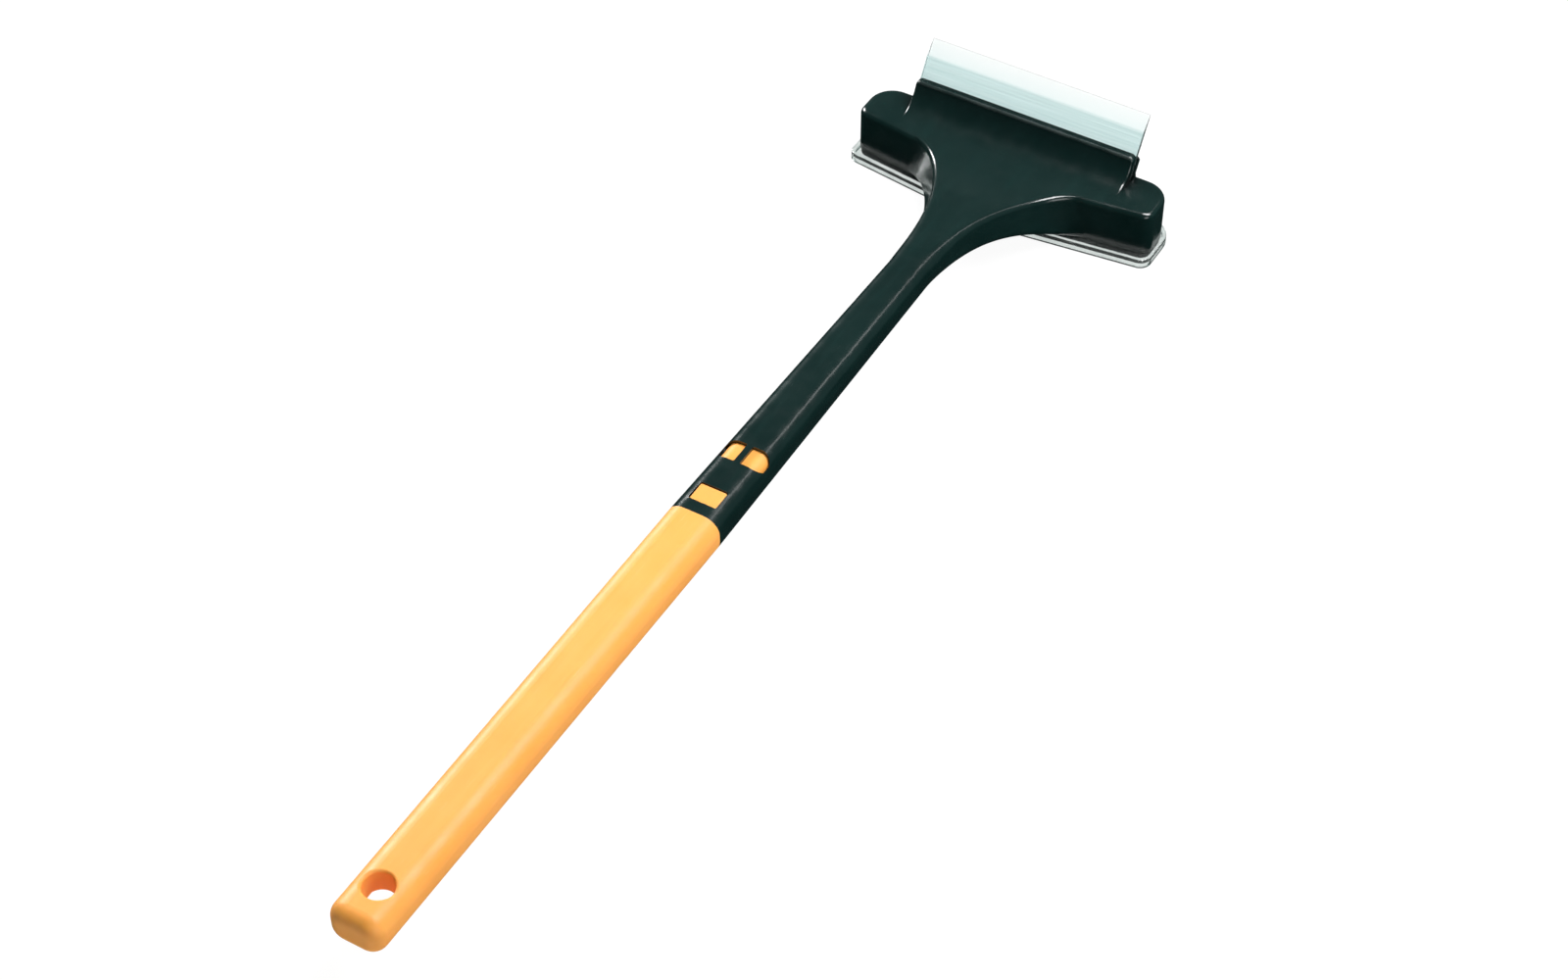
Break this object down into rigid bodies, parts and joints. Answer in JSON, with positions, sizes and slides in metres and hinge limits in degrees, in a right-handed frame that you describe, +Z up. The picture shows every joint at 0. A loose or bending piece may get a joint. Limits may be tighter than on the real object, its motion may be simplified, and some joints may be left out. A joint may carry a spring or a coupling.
{
  "type": "ice scraper",
  "caption": "Long-handled windshield ice scraper: T-shaped head with a clear upright blade and a clear edge below, on a plug-in handle with a release button and a hanging hole.",
  "frame": {"origin": "bottom centre of the bounding box, level with the lowest face under the head", "axes": "+Y from the end of the handle to the blade, +Z up, on the side the blade rises, +X along the blade"},
  "size_m": [0.1652, 0.573, 0.0566],
  "materials": {
    "orange_plastic": "satin orange moulding",
    "orange_button": "satin orange moulding",
    "spring_steel": "drawn spring wire",
    "black_plastic": "satin black moulding",
    "clear_blade": "clear with a faint cool tint",
    "black_bar": "satin black moulding",
    "screw_steel": "zinc plated",
    "clear_edge": "clear with a faint cool tint",
    "black_base": "fine grain black moulding",
    "base_screw_steel": "zinc plated"
  },
  "bodies": {
    "head": {"head_shell": "black_plastic", "ice_blade": "clear_blade", "blade_clamp_bar": "black_bar", "blade_clamp_screws": "screw_steel", "edge_lip": "clear_edge", "base_plate": "black_base", "base_plate_screws": "base_screw_steel"},
    "handle": {"handle_grip": "orange_plastic", "button_spring": "spring_steel"},
    "button": {"lock_button": "orange_button"}
  },
  "joints": [
    {"name": "handle_pull", "type": "slide", "parent": "head", "child": "handle", "axis": [0, -1, 0], "range_m": [0, 0.105]},
    {"name": "button_press", "type": "slide", "parent": "handle", "child": "button", "axis": [0, 0, -1], "range_m": [0, 0.0026], "stiffness_N_per_m": 1500, "springref_m": -0.002, "deforming": ["button_spring"]}
  ]
}
